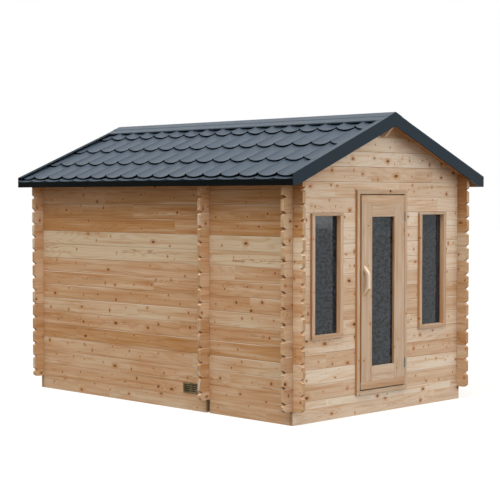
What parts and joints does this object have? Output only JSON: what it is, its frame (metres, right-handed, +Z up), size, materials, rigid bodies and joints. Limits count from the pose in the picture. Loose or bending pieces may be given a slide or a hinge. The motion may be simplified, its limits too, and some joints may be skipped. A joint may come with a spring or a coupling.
{
  "type": "outdoor sauna cabin",
  "caption": "Outdoor sauna cabin of interlocking squared logs with a gable roof of stepped metal tile, a glazed front door that swings out, and a window each side.",
  "frame": {"origin": "on the ground, under the middle of the cabin", "axes": "+Z up, +X right along the front gable wall seen from outside, -Y out of the front door"},
  "size_m": [2.788, 3.988, 2.8094],
  "materials": {
    "log_wood": "planed, unfinished",
    "board_wood": "planed, unfinished",
    "door_wood": "planed, unfinished",
    "base_wood": "planed, unfinished",
    "tinted_glass": "tinted, polished",
    "roof_metal": "satin",
    "trim_metal": "satin",
    "hinge_steel": "satin",
    "vent_metal": "satin"
  },
  "bodies": {
    "cabin": {"base_front_board": "base_wood", "base_rear_board": "base_wood", "base_side_boards": "base_wood", "changing_room_floor": "board_wood", "door_frame_head_and_sill": "board_wood", "door_frame_posts": "board_wood", "door_stops": "board_wood", "eave_boards": "board_wood", "eave_fascias": "trim_metal", "floor_joists": "base_wood", "frame_hinges": "hinge_steel", "front_barge_boards": "board_wood", "front_barge_flashings": "trim_metal", "front_gable": "log_wood", "front_sill_log": "log_wood", "front_wall_left": "log_wood", "front_wall_right": "log_wood", "left_wall": "log_wood", "low_air_vent": "vent_metal", "partition_doorway_posts": "board_wood", "partition_gable": "log_wood", "partition_left": "log_wood", "partition_right": "log_wood", "partition_sill_log": "log_wood", "rear_barge_boards": "board_wood", "rear_barge_flashings": "trim_metal", "rear_wall": "log_wood", "ridge_beam": "board_wood", "ridge_cap": "roof_metal", "right_wall": "log_wood", "roof_boards_left": "board_wood", "roof_boards_right": "board_wood", "sauna_room_floor": "board_wood", "tile_sheet_left": "roof_metal", "tile_sheet_right": "roof_metal", "window_frame_sides": "board_wood", "window_heads_and_sills": "board_wood", "window_panes": "tinted_glass"},
    "door": {"door_glass": "tinted_glass", "door_handle": "door_wood", "door_hinges": "hinge_steel", "door_inner_rails": "door_wood", "door_outer_rails": "door_wood", "door_stiles": "door_wood"}
  },
  "joints": [
    {"name": "door_hinge", "type": "hinge", "parent": "cabin", "child": "door", "pos_m": [0.3095, -1.86425, 1.1375], "axis": [0, 0, 1], "range_deg": [0, 110]}
  ]
}
